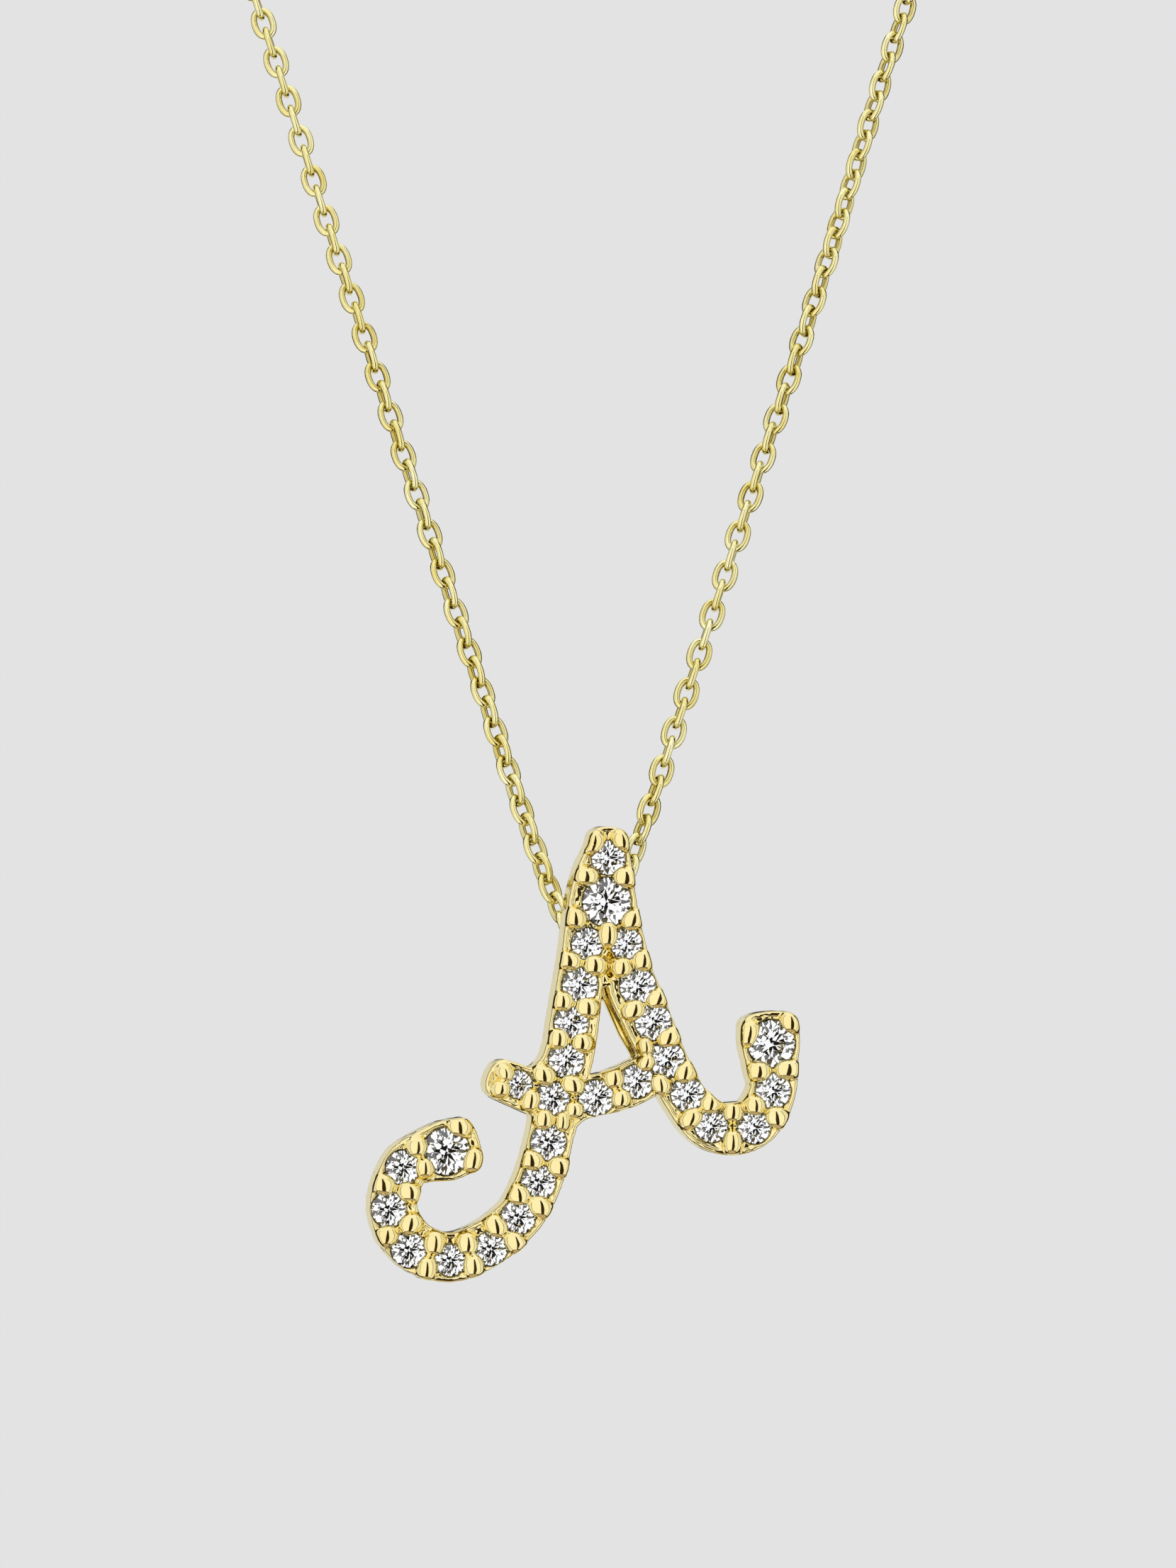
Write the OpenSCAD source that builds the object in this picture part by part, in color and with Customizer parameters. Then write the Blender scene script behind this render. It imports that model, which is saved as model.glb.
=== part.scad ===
// Pendant necklace: a script letter A set with round stones, hung by a hidden bail on a fine cable chain.
// Millimetres. +Z is up, the front faces -Y, and the origin is the middle of the neck at the nape's height.

/* [Stones] */
// Girdle diameter of a plain stone; the rows of the stone table are shares of it
stone_d = 1.2; // [1.1:0.05:1.5]
// Metal left between two plain stones
stone_land = 0.15; // [0.12:0.01:0.25]
// Depth of the girdle below the front of the letter
stone_sink = 0.06; // [0.04:0.01:0.1]
// Clearance between a stone and its seat
seat_gap = 0.03; // [0.02:0.005:0.05]
// Thickness of a stone's girdle
girdle_t = 0.04; // [0.03:0.01:0.06]

/* [Letter] */
// Thickness of the letter, back to front
plate_t = 1.5; // [1.4:0.1:2]
// Metal on each side of a plain stone
rim_w = 0.15; // [0.12:0.01:0.25]
// Diameter of a prong
prong_d = 0.74; // [0.6:0.02:0.84]
// Height of a prong above the front of the letter
prong_rise = 0.3; // [0.25:0.01:0.35]
// How far a prong stands past the letter's edge
prong_overhang = 0.07; // [0:0.01:0.1]
// How far a prong at a stroke's end reaches over its stone
end_prong_lap = 0.21; // [0.1:0.01:0.25]
// Width of the bright cut round each stone
bright_cut = 0.09; // [0.05:0.01:0.12]
// Thickness of the web between the legs, from the back
web_t = 0.6; // [0.4:0.05:0.8]
// Width of the groove where the legs part
groove_w = 0.32; // [0.2:0.02:0.4]
// Length of the groove
groove_l = 0.96; // [0.7:0.02:1.1]
// Turn of the hanging letter about the vertical, as the photograph shows it, in degrees
letter_turn = 8; // [-10:1:10]

/* [Bail] */
// Wire of the hidden bail
bail_wire_d = 0.5; // [0.4:0.05:0.6]
// Clearance between the chain and the bail's wire
bail_gap = 0.25; // [0.2:0.01:0.4]
// Clearance between the chain and the letter's back
back_gap = 0.2; // [0.15:0.01:0.3]

/* [Chain] */
// Outer width of the chain's links
chain_w = 0.87; // [0.8:0.01:1.1]

/* [Clasp] */
// Thickness of the clasp
clasp_t = 1.3; // [1:0.1:1.6]
// Height of the clasp's hook
clasp_h = 3.6; // [3:0.1:5]
// Distance between the jump rings' wires in the clasp
clasp_reach = 10.6; // [9:0.2:12]
// Metal round the holes of the clasp
clasp_wall = 0.7; // [0.5:0.05:1]
// Wire of the jump rings
ring_wire_d = 0.5; // [0.4:0.05:0.6]
// Inner diameter of the jump rings
ring_bore_d = 1.9; // [1.8:0.05:2.4]
// Clearance between a jump ring and the chain's end
ring_gap = 0.15; // [0.1:0.01:0.3]
// Clearance between a jump ring and the hole it runs in
ring_play = 0.15; // [0.1:0.05:0.3]

/* [Hidden] */
eps = 0.01;
STATION_STEPS = 4;     // outline points between two stations
END_STEPS = 6;         // outline points of a stroke's rounded end
END_POWER = 2.6;       // 2 is a round end, more is squarer
DOME_SHARE = 1.06;     // the ball of a prong's dome, as a share of prong_d
LETTER_PITCHES = 11.85;
letter_h = LETTER_PITCHES * (stone_d + stone_land);
stroke_w = stone_d + 2 * rim_w;
prong_off = stroke_w / 2 - prong_d / 2 + prong_overhang;
girdle_z = plate_t - stone_sink;
axis_back = chain_w / 2 + back_gap;
bail_bore_r = chain_w / 2 + bail_gap;
ring_mid_r = (ring_bore_d + ring_wire_d) / 2;
// A ring curves away as it leaves the clasp's faces, so the hole is wider than its wire.
clasp_hole_r = ring_mid_r - sqrt(pow(ring_bore_d / 2, 2) - pow(clasp_t / 2, 2)) + ring_play;

// Strokes as stations: x and y are shares of letter_h from the bail, w is a share of stroke_w.
LEFT_STROKE = [
    [ 0.035,  0.223, 0.89], [ 0.029,  0.189, 1.12], [ 0.020,  0.148, 1.27], [ 0.009,  0.096, 1.32],
    [-0.006,  0.049, 1.16], [-0.016,  0.007, 1.04], [-0.022, -0.037, 1.04], [-0.028, -0.084, 1.09],
    [-0.039, -0.166, 1.16], [-0.052, -0.247, 1.15], [-0.074, -0.328, 1.08], [-0.091, -0.417, 1.06],
    [-0.109, -0.489, 1.09], [-0.133, -0.548, 1.09], [-0.165, -0.597, 1.07], [-0.231, -0.650, 1.11],
    [-0.314, -0.680, 1.16], [-0.396, -0.651, 1.18], [-0.439, -0.574, 1.12], [-0.416, -0.489, 1.09],
    [-0.377, -0.462, 1.19], [-0.323, -0.447, 1.41], [-0.283, -0.436, 1.30]];
RIGHT_STROKE = [
    [ 0.036,  0.223, 0.89], [ 0.038,  0.189, 1.04], [ 0.041,  0.146, 1.09], [ 0.051,  0.096, 1.03],
    [ 0.062,  0.049, 0.96], [ 0.075,  0.007, 0.92], [ 0.082, -0.037, 1.00], [ 0.090, -0.086, 1.18],
    [ 0.124, -0.164, 1.14], [ 0.161, -0.247, 1.05], [ 0.205, -0.328, 1.02], [ 0.253, -0.385, 1.13],
    [ 0.311, -0.402, 1.22], [ 0.368, -0.381, 1.16], [ 0.402, -0.318, 1.09], [ 0.400, -0.263, 1.22],
    [ 0.397, -0.213, 1.39], [ 0.394, -0.178, 1.35]];
CROSSBAR = [
    [-0.190, -0.294, 0.98], [-0.156, -0.308, 1.01], [-0.098, -0.330, 1.03], [-0.040, -0.332, 1.01],
    [ 0.010, -0.325, 0.98], [ 0.054, -0.315, 0.99], [ 0.097, -0.297, 1.03], [ 0.141, -0.274, 0.99]];
// How far each rounded end runs past its last station, as a share of stroke_w.
TOP_REACH = 0.42;
CURL_REACH = 0.38;
HOOK_REACH = 0.38;
BAR_REACH = 0.47;

// Metal that fills the corners where strokes meet, as outlines in shares of letter_h, and the web behind the legs.
CORNERS = [
    [[0.010, 0.010], [0.012, -0.088], [0.030, -0.089], [0.060, -0.080], [0.065, 0.010]],
    [[-0.090, -0.210], [-0.103, -0.217], [-0.107, -0.233], [-0.115, -0.247], [-0.124, -0.255], [-0.134, -0.263],
        [-0.139, -0.266], [-0.130, -0.290], [-0.090, -0.270]],
    [[0.010, -0.371], [-0.007, -0.374], [-0.021, -0.383], [-0.034, -0.395], [-0.039, -0.414], [-0.060, -0.400],
        [-0.060, -0.340], [0.000, -0.340]]];
WEB = [[0.000, 0.000], [0.000, -0.115], [0.034, -0.119], [0.054, -0.164], [0.068, -0.195], [0.087, -0.227],
    [0.100, -0.250], [0.140, -0.250], [0.120, -0.160], [0.080, 0.000]];
GROOVE = [0.040, -0.039];

// Stones: x and y are shares of letter_h, d is a share of stone_d.
STONES = [
    [ 0.036,  0.196, 1.00], [ 0.032,  0.099, 1.44], [-0.011,  0.007, 0.93], [ 0.076,  0.007, 0.93],
    [-0.027, -0.084, 1.05], [-0.046, -0.166, 1.02], [-0.057, -0.247, 1.05], [ 0.101, -0.086, 1.07],
    [ 0.135, -0.164, 1.07], [ 0.165, -0.247, 1.07], [ 0.212, -0.324, 1.00], [ 0.264, -0.394, 0.96],
    [ 0.360, -0.397, 0.96], [ 0.402, -0.317, 1.03], [ 0.398, -0.213, 1.39], [-0.164, -0.301, 0.82],
    [-0.088, -0.333, 1.00], [ 0.009, -0.331, 1.04], [ 0.099, -0.295, 0.98], [-0.097, -0.428, 1.04],
    [-0.119, -0.516, 1.00], [-0.164, -0.593, 1.00], [-0.225, -0.661, 0.98], [-0.314, -0.686, 0.92],
    [-0.406, -0.663, 1.02], [-0.450, -0.574, 1.02], [-0.419, -0.482, 1.00], [-0.323, -0.447, 1.38]];

// Prongs in the gap between two stones: the stones' numbers, then the distances to the left and to the right
// of the line from the first to the second, as shares of prong_off. A zero leaves that side out.
GAP_PRONGS = [
    [ 1,  2, 1.45, 1.65], [ 2,  3, 0.00, 1.65], [ 2,  4, 1.25, 0.00], [ 3,  4, 0.70, 0.00],
    [ 3,  5, 0.92, 1.20], [ 4,  8, 0.85, 0.85], [ 5,  6, 0.85, 1.00], [ 8,  9, 1.00, 1.12],
    [ 6,  7, 1.05, 0.80], [ 9, 10, 0.80, 1.25], [ 7, 17, 1.05, 1.25], [16, 17, 0.00, 0.75],
    [17, 18, 0.00, 0.85], [18, 19, 0.90, 0.75], [19, 10, 0.75, 1.25], [10, 11, 0.80, 0.00],
    [11, 12, 1.10, 0.95], [12, 13, 1.15, 1.15], [13, 14, 0.85, 1.25], [14, 15, 1.10, 1.20],
    [17, 20, 0.95, 0.60], [20, 21, 1.30, 1.00], [21, 22, 1.05, 1.00], [22, 23, 1.10, 0.95],
    [23, 24, 0.90, 0.95], [24, 25, 1.00, 1.05], [25, 26, 1.05, 1.05], [26, 27, 1.10, 1.05],
    [27, 28, 1.15, 0.65]];
// Prongs round an end stone: the stone's number, the angle from the letter's right in degrees, and the distance
// from its girdle as a share of end_prong_off.
END_PRONGS = [[1, 51, 1], [1, 136, 1], [16, 139, 1], [16, 194, 1], [15, 47, 1], [15, 158, 0.25], [28, 61, 1],
    [28, -19, 1]];
end_prong_off = prong_d / 2 - end_prong_lap;

// Cut of a round brilliant, as shares of its diameter, with its angles in degrees.
TABLE_SHARE = 0.56;
CROWN_ANGLE = 34.5;
PAVILION_ANGLE = 40.75;
STAR_SHARE = 0.5;      // how far the star facets reach from the table to the girdle
LOWER_SHARE = 0.26;    // where the lower girdle facets end, from the culet
CUT_FOLD = 8;
SEAT_HOLE_SHARE = 0.45; // open back of a seat

// Route of the chain's right half from the bail towards its jump ring. Its left half is the mirror image.
ROUTE = [
    [0, -78, -127.5], [0.32, -78, -127.44], [0.56, -77.95, -127.2], [0.76, -77.8, -126.8],
    [0.96, -77.65, -126.3], [1.3, -77.3, -125.4], [2.5, -76.1, -121.7], [5.1, -73.3, -114],
    [8.5, -69.6, -103.7], [11.7, -66.2, -93.4], [18, -59.4, -74.6], [25, -51.8, -53.7],
    [31.5, -44.8, -34.3], [36.3, -39.6, -20], [38.2, -37.4, -14.5], [40, -35.1, -10.6],
    [42.5, -31.7, -7.6], [46.4, -25.4, -4.8], [49.5, -18.5, -3.2], [51.7, -11.2, -2.2],
    [52.8, -3.7, -1.5], [52.9, 3.7, -1], [51.8, 11, -0.6], [49.8, 18.1, -0.3],
    [46.8, 24.9, -0.1], [42.9, 31.2, 0], [38.1, 36.8, 0], [32.6, 41.8, 0],
    [26.5, 45.9, 0], [20, 49.2, 0], [13.5, 51.4, 0]];
CHAIN_SIDES = 8;
bail_point = ROUTE[0];
nape_y = 52.6;
chain_end = [clasp_reach / 2 + 2 * ring_mid_r + ring_wire_d / 2 + ring_gap, nape_y, 0];

STONE_COUNT = len(STONES);
function two_digits(n) = n < 10 ? str("0", n) : str(n);
function stone_name(n) = str("stone_", two_digits(n));

gold = [0.93, 0.78, 0.42];
deep_gold = [0.9, 0.7, 0.2];
clear_stone = [0.93, 0.95, 0.98];

// A smooth curve through the rows of a table, with n steps between rows.
function between(a, b, c, d, t) =
    0.5 * (2 * b + (c - a) * t + (2 * a - 5 * b + 4 * c - d) * t * t + (3 * b - a - 3 * c + d) * t * t * t);
function smooth(rows, n) = let (last = len(rows) - 1) concat(
    [for (i = [0:last - 1], k = [0:n - 1])
        between(rows[max(i - 1, 0)], rows[i], rows[i + 1], rows[min(i + 2, last)], k / n)],
    [rows[last]]);

function unit(v) = v / norm(v);
function sized(station) = [station.x * letter_h, station.y * letter_h, station.z * stroke_w];

// Stations that close a stroke with a rounded end of this reach, running on from p away from q.
function end_stations(p, q, reach) = let (dir = unit([p.x - q.x, p.y - q.y]))
    [for (k = [1:END_STEPS]) let (t = sin(90 * k / END_STEPS))
        [p.x + dir.x * reach * t, p.y + dir.y * reach * t,
         p.z * pow(max(1 - pow(t, END_POWER), 0.0004), 1 / END_POWER)]];
function reversed(list) = [for (i = [len(list) - 1:-1:0]) list[i]];
function stroke_line(rows, start_reach, end_reach) = let (
        line = smooth([for (r = rows) sized(r)], STATION_STEPS), last = len(line) - 1,
        head = start_reach > 0 ? reversed(end_stations(line[0], line[1], start_reach * stroke_w)) : [],
        tail = end_reach > 0 ? end_stations(line[last], line[last - 1], end_reach * stroke_w) : [])
    concat(head, line, tail);
function side_point(line, i, side) = let (
        a = line[max(i - 1, 0)], b = line[min(i + 1, len(line) - 1)], dir = unit([b.x - a.x, b.y - a.y]))
    [line[i].x - side * dir.y * line[i].z / 2, line[i].y + side * dir.x * line[i].z / 2];
function outline(line) = concat(
    [for (i = [0:len(line) - 1]) side_point(line, i, 1)],
    [for (i = [len(line) - 1:-1:0]) side_point(line, i, -1)]);

function stone_at(n) = [STONES[n - 1].x, STONES[n - 1].y] * letter_h;
function stone_r(n) = STONES[n - 1].z * stone_d / 2;

// Middle of the gap between two stones, moved sideways by a share of prong_off.
function gap_point(a, b, side) = let (
        p = stone_at(a), run = stone_at(b) - p, dir = unit(run),
        along = (norm(run) + stone_r(a) - stone_r(b)) / 2)
    p + dir * along + [-dir.y, dir.x] * side * prong_off;
function prong_points() = concat(
    [for (g = GAP_PRONGS) if (g[2] > 0) gap_point(g[0], g[1], g[2])],
    [for (g = GAP_PRONGS) if (g[3] > 0) gap_point(g[0], g[1], -g[3])],
    [for (e = END_PRONGS) stone_at(e[0]) + (stone_r(e[0]) + end_prong_off * e[2]) * [cos(e[1]), sin(e[1])]]);

// Heights of a stone of radius r over its girdle's top, and its depths below the girdle's underside.
function table_r(r) = r * TABLE_SHARE;
function crown_h(r) = (r - table_r(r)) * tan(CROWN_ANGLE);
function pavilion_h(r) = r * tan(PAVILION_ANGLE);

// Puts what is drawn flat, front up and bail point at the origin, on the chain.
module hang() {
    translate(bail_point) rotate([0, 0, letter_turn]) rotate([90, 0, 0]) translate([0, 0, axis_back])
        children();
}

module letter_plate() {
    linear_extrude(plate_t) {
        polygon(outline(stroke_line(LEFT_STROKE, TOP_REACH, CURL_REACH)));
        polygon(outline(stroke_line(RIGHT_STROKE, TOP_REACH, HOOK_REACH)));
        polygon(outline(stroke_line(CROSSBAR, BAR_REACH, 0)));
        for (corner = CORNERS) polygon(corner * letter_h);
    }
    linear_extrude(web_t) polygon(WEB * letter_h);
}

// A hollow that a small wheel would cut in the front.
module groove() {
    translate(concat(GROOVE * letter_h, [plate_t])) rotate([0, 90, 0])
        cylinder(h = groove_w, d = groove_l, center = true, $fn = 48);
}

// Cone that cuts the metal back round a stone, from the girdle out to the letter's front.
module bright_cut_cone(r) {
    cut_r = r + seat_gap;
    translate([0, 0, girdle_z]) cylinder(h = 2 * stone_sink, r1 = cut_r, r2 = cut_r + 2 * bright_cut, $fn = 48);
}

// Room for a stone of radius r, with the clearance all round and an open back.
module seat(r) {
    g = seat_gap;
    hole_r = r * SEAT_HOLE_SHARE;
    wide = r + g;
    girdle_low = girdle_z - girdle_t - g;
    cone_low = girdle_low - (wide - hole_r) * tan(PAVILION_ANGLE);
    crown_top = girdle_z + g + crown_h(r);
    rotate_extrude($fn = 48) polygon([
        [0, -eps], [hole_r, -eps], [hole_r, cone_low], [wide, girdle_low], [wide, girdle_z + g],
        [table_r(r) + g, crown_top], [table_r(r) + g, plate_t + prong_rise + 1], [0, plate_t + prong_rise + 1]]);
}

// A post with a domed head.
module prong() {
    ball_r = DOME_SHARE * prong_d / 2;
    ball_z = plate_t + prong_rise - ball_r;
    intersection() {
        cylinder(h = plate_t + prong_rise, d = prong_d, $fn = 32);
        union() {
            translate([0, 0, ball_z]) sphere(r = ball_r, $fn = 32);
            translate([0, 0, -eps]) cylinder(h = ball_z + eps, d = prong_d + 4 * eps, $fn = 32);
        }
    }
}

module bail() {
    translate([0, 0, -axis_back]) rotate([0, 90, 0]) rotate_extrude($fn = 64)
        translate([bail_bore_r + bail_wire_d / 2, 0]) circle(d = bail_wire_d, $fn = 24);
}

module letter_setting() {
    color(gold) hang() {
        difference() {
            union() {
                difference() {
                    letter_plate();
                    for (n = [1:STONE_COUNT]) translate(stone_at(n)) bright_cut_cone(stone_r(n));
                    groove();
                }
                for (p = prong_points()) translate(p) prong();
            }
            for (n = [1:STONE_COUNT]) translate(stone_at(n)) seat(stone_r(n));
        }
        bail();
    }
}

// A ring of n points at radius r and height z, turned by some degrees.
function ring_points(n, r, z, turn) = [for (k = [0:n - 1]) [r * cos(turn + 360 * k / n), r * sin(turn + 360 * k / n), z]];

// A round brilliant of radius r with its girdle's top at z = 0: table, stars, kites, girdle and pavilion.
module brilliant(r) {
    n = round(CUT_FOLD);
    half = 180 / n;
    mid_r = table_r(r) + STAR_SHARE * (r - table_r(r));
    mid_z = (r - mid_r * cos(half)) * tan(CROWN_ANGLE);
    low_r = r * LOWER_SHARE;
    low_z = -girdle_t - (r - low_r * cos(half)) * tan(PAVILION_ANGLE);
    culet = [[0, 0, -girdle_t - pavilion_h(r)]];
    points = concat(
        ring_points(n, table_r(r), crown_h(r), 0), ring_points(n, mid_r, mid_z, half),
        ring_points(2 * n, r, 0, 0), ring_points(2 * n, r, -girdle_t, 0),
        ring_points(n, low_r, low_z, half), culet);
    table = 0;
    mid = n;
    top = 2 * n;
    base = 4 * n;
    low = 6 * n;
    tip = 7 * n;
    faces = concat(
        [[for (k = [n - 1:-1:0]) table + k]],
        [for (k = [0:n - 1]) [table + k, table + (k + 1) % n, mid + k]],
        [for (k = [0:n - 1]) [table + k, mid + k, top + 2 * k, mid + (k + n - 1) % n]],
        [for (k = [0:n - 1]) [mid + k, top + 2 * k + 1, top + 2 * k]],
        [for (k = [0:n - 1]) [mid + k, top + (2 * k + 2) % (2 * n), top + 2 * k + 1]],
        [for (k = [0:2 * n - 1]) [top + k, top + (k + 1) % (2 * n), base + (k + 1) % (2 * n), base + k]],
        [for (k = [0:n - 1]) [base + 2 * k, base + 2 * k + 1, low + k]],
        [for (k = [0:n - 1]) [base + 2 * k + 1, base + (2 * k + 2) % (2 * n), low + k]],
        [for (k = [0:n - 1]) [base + 2 * k, low + k, tip, low + (k + n - 1) % n]]);
    polyhedron(points, faces, convexity = 4);
}

module stone(n) {
    color(clear_stone) hang() translate(concat(stone_at(n), [girdle_z])) brilliant(stone_r(n));
}

// Sideways directions carried along the route without twisting.
function heading(route, i) = unit(route[min(i + 1, len(route) - 1)] - route[max(i - 1, 0)]);
function carried(route, i, side) = let (t = i == 0 ? [1, 0, 0] : heading(route, i)) unit(side - (side * t) * t);
function sides_along(route, i = 0, side = [0, 1, 0], found = []) =
    i == len(route) ? found :
    let (s = carried(route, i, side)) sides_along(route, i + 1, s, concat(found, [s]));

// A closed tube of a given diameter swept along the route.
module swept_tube(route, d) {
    n = CHAIN_SIDES;
    last = len(route) - 1;
    sides = sides_along(route);
    points = [for (i = [0:last]) let (t = i == 0 ? [1, 0, 0] : heading(route, i), s = sides[i], u = cross(t, s))
        for (k = [0:n - 1]) route[i] + d / 2 * (cos(360 * k / n) * s + sin(360 * k / n) * u)];
    faces = concat(
        [[for (k = [0:n - 1]) k]],
        [for (i = [0:last - 1], k = [0:n - 1]) [i * n + k, (i + 1) * n + k, (i + 1) * n + (k + 1) % n, i * n + (k + 1) % n]],
        [[for (k = [n - 1:-1:0]) last * n + k]]);
    polyhedron(points, faces, convexity = 6);
}

module chain_right() {
    color(deep_gold) swept_tube(concat(ROUTE, [chain_end]), chain_w);
}

module chain_left() {
    mirror([1, 0, 0]) chain_right();
}

// A jump ring lying level, with its inner wire in the clasp.
module ring(side) {
    color(deep_gold) translate([side * (clasp_reach / 2 + ring_mid_r), nape_y, 0]) rotate_extrude($fn = 64)
        translate([ring_mid_r, 0]) circle(d = ring_wire_d, $fn = 24);
}

module slot_outline(x1, x2, r) {
    translate([x1, 0]) circle(r = r, $fn = 48);
    translate([x2, 0]) circle(r = r, $fn = 48);
    translate([x1, -r]) square([x2 - x1, 2 * r]);
}

// A closed lobster clasp: an eye for one ring and a long hook for the other.
module clasp() {
    eye_x = -clasp_reach / 2;
    hook_r = clasp_h / 2;
    hook_far = clasp_reach / 2 + clasp_hole_r + clasp_wall - hook_r;
    hook_near = hook_far - clasp_h * 0.45;
    color(deep_gold) translate([0, nape_y + clasp_t / 2, 0]) rotate([90, 0, 0]) linear_extrude(clasp_t)
        difference() {
            union() {
                slot_outline(hook_near, hook_far, hook_r);
                translate([eye_x, 0]) circle(r = clasp_hole_r + clasp_wall, $fn = 48);
                polygon([[eye_x, clasp_wall], [eye_x, -clasp_wall], [hook_near, -hook_r + eps], [hook_near, hook_r - eps]]);
            }
            translate([eye_x, 0]) circle(r = clasp_hole_r, $fn = 32);
            slot_outline(hook_near, hook_far, hook_r - clasp_wall);
        }
}

letter_setting();
for (n = [1:STONE_COUNT]) stone(n);
chain_left();
chain_right();
ring(-1);  // ring_left
ring(1);  // ring_right
clasp();
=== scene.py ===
"""Looks of the initial pendant necklace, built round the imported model.

The scene is in metres; the tables and the fields of distances are in millimetres. +Z is up, the front faces
-Y, and the origin is the middle of the neck opening at the nape's height.
"""
import math
import random

import bpy
import numpy as np
import openvdb
from mathutils import Matrix, Vector


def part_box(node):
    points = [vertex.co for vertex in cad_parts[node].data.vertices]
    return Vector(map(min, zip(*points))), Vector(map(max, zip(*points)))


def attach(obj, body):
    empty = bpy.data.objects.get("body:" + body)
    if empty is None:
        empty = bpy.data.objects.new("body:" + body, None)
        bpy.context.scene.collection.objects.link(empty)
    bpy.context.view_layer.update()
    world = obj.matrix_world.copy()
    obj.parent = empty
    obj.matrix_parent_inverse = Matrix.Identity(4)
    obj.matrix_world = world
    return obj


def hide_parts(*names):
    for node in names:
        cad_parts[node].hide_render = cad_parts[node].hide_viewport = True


MM = 0.001
FAR = 99    # beyond every field of distances, in millimetres

# The photograph's size, its scale and where it shows the bail, in pixels.
PHOTO_SIZE = (1659, 2212)
PX_PER_MM = 40.0
BAIL_PX = (824, 1335)
CAMERA_DISTANCE = 0.45  # in metres

# The letter's sizes, the same as the solids'.
BAIL_POINT = (0, -78, -127.5)
LETTER_TURN = 8
PLATE_T = 1.5
STONE_SINK = 0.06
GIRDLE_T = 0.04
SEAT_GAP = 0.03
BRIGHT_CUT = 0.09
PRONG_D = 0.74
PRONG_RISE = 0.3
PRONG_OVERHANG = 0.07
END_PRONG_LAP = 0.21
WEB_T = 0.6
GROOVE_W, GROOVE_L = 0.32, 0.96
STROKE_W = 1.5
LETTER_H = 16.0
CHAIN_W = 0.87
BACK_GAP = 0.2
BAIL_GAP = 0.25
BAIL_WIRE_D = 0.5
TABLE_SHARE = 0.56
CROWN_ANGLE = 34.5
PAVILION_ANGLE = 40.75
SEAT_HOLE_SHARE = 0.45
GIRDLE_Z = PLATE_T - STONE_SINK
AXIS_BACK = CHAIN_W / 2 + BACK_GAP
BAIL_R = CHAIN_W / 2 + BAIL_GAP + BAIL_WIRE_D / 2
PRONG_OFF = STROKE_W / 2 - PRONG_D / 2 + PRONG_OVERHANG

# Strokes as stations: x and y are shares of LETTER_H from the bail, w is a share of STROKE_W.
LEFT_STROKE = [
    [0.035, 0.223, 0.89], [0.029, 0.189, 1.12], [0.020, 0.148, 1.27], [0.009, 0.096, 1.32],
    [-0.006, 0.049, 1.16], [-0.016, 0.007, 1.04], [-0.022, -0.037, 1.04], [-0.028, -0.084, 1.09],
    [-0.039, -0.166, 1.16], [-0.052, -0.247, 1.15], [-0.074, -0.328, 1.08], [-0.091, -0.417, 1.06],
    [-0.109, -0.489, 1.09], [-0.133, -0.548, 1.09], [-0.165, -0.597, 1.07], [-0.231, -0.650, 1.11],
    [-0.314, -0.680, 1.16], [-0.396, -0.651, 1.18], [-0.439, -0.574, 1.12], [-0.416, -0.489, 1.09],
    [-0.377, -0.462, 1.19], [-0.323, -0.447, 1.41], [-0.283, -0.436, 1.30]]
RIGHT_STROKE = [
    [0.036, 0.223, 0.89], [0.038, 0.189, 1.04], [0.041, 0.146, 1.09], [0.051, 0.096, 1.03],
    [0.062, 0.049, 0.96], [0.075, 0.007, 0.92], [0.082, -0.037, 1.00], [0.090, -0.086, 1.18],
    [0.124, -0.164, 1.14], [0.161, -0.247, 1.05], [0.205, -0.328, 1.02], [0.253, -0.385, 1.13],
    [0.311, -0.402, 1.22], [0.368, -0.381, 1.16], [0.402, -0.318, 1.09], [0.400, -0.263, 1.22],
    [0.397, -0.213, 1.39], [0.394, -0.178, 1.35]]
CROSSBAR = [
    [-0.190, -0.294, 0.98], [-0.156, -0.308, 1.01], [-0.098, -0.330, 1.03], [-0.040, -0.332, 1.01],
    [0.010, -0.325, 0.98], [0.054, -0.315, 0.99], [0.097, -0.297, 1.03], [0.141, -0.274, 0.99]]
TOP_REACH, CURL_REACH, HOOK_REACH, BAR_REACH = 0.42, 0.38, 0.38, 0.47
END_POWER = 2.6                 # 2 is a round end, more is squarer
END_TIP = 0.0004                # keeps a stroke's tip from closing to a point
STATION_STEPS, END_STEPS = 4, 8
# Metal that fills the corners where strokes meet, the web behind the legs and the groove's middle, in shares
# of LETTER_H.
CORNERS = [
    [[0.010, 0.010], [0.012, -0.088], [0.030, -0.089], [0.060, -0.080], [0.065, 0.010]],
    [[-0.090, -0.210], [-0.103, -0.217], [-0.107, -0.233], [-0.115, -0.247], [-0.124, -0.255],
     [-0.134, -0.263], [-0.139, -0.266], [-0.130, -0.290], [-0.090, -0.270]],
    [[0.010, -0.371], [-0.007, -0.374], [-0.021, -0.383], [-0.034, -0.395], [-0.039, -0.414],
     [-0.060, -0.400], [-0.060, -0.340], [0.000, -0.340]]]
WEB = [[0.000, 0.000], [0.000, -0.115], [0.034, -0.119], [0.054, -0.164], [0.068, -0.195], [0.087, -0.227],
       [0.100, -0.250], [0.140, -0.250], [0.120, -0.160], [0.080, 0.000]]
GROOVE = (0.040, -0.039)
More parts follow.
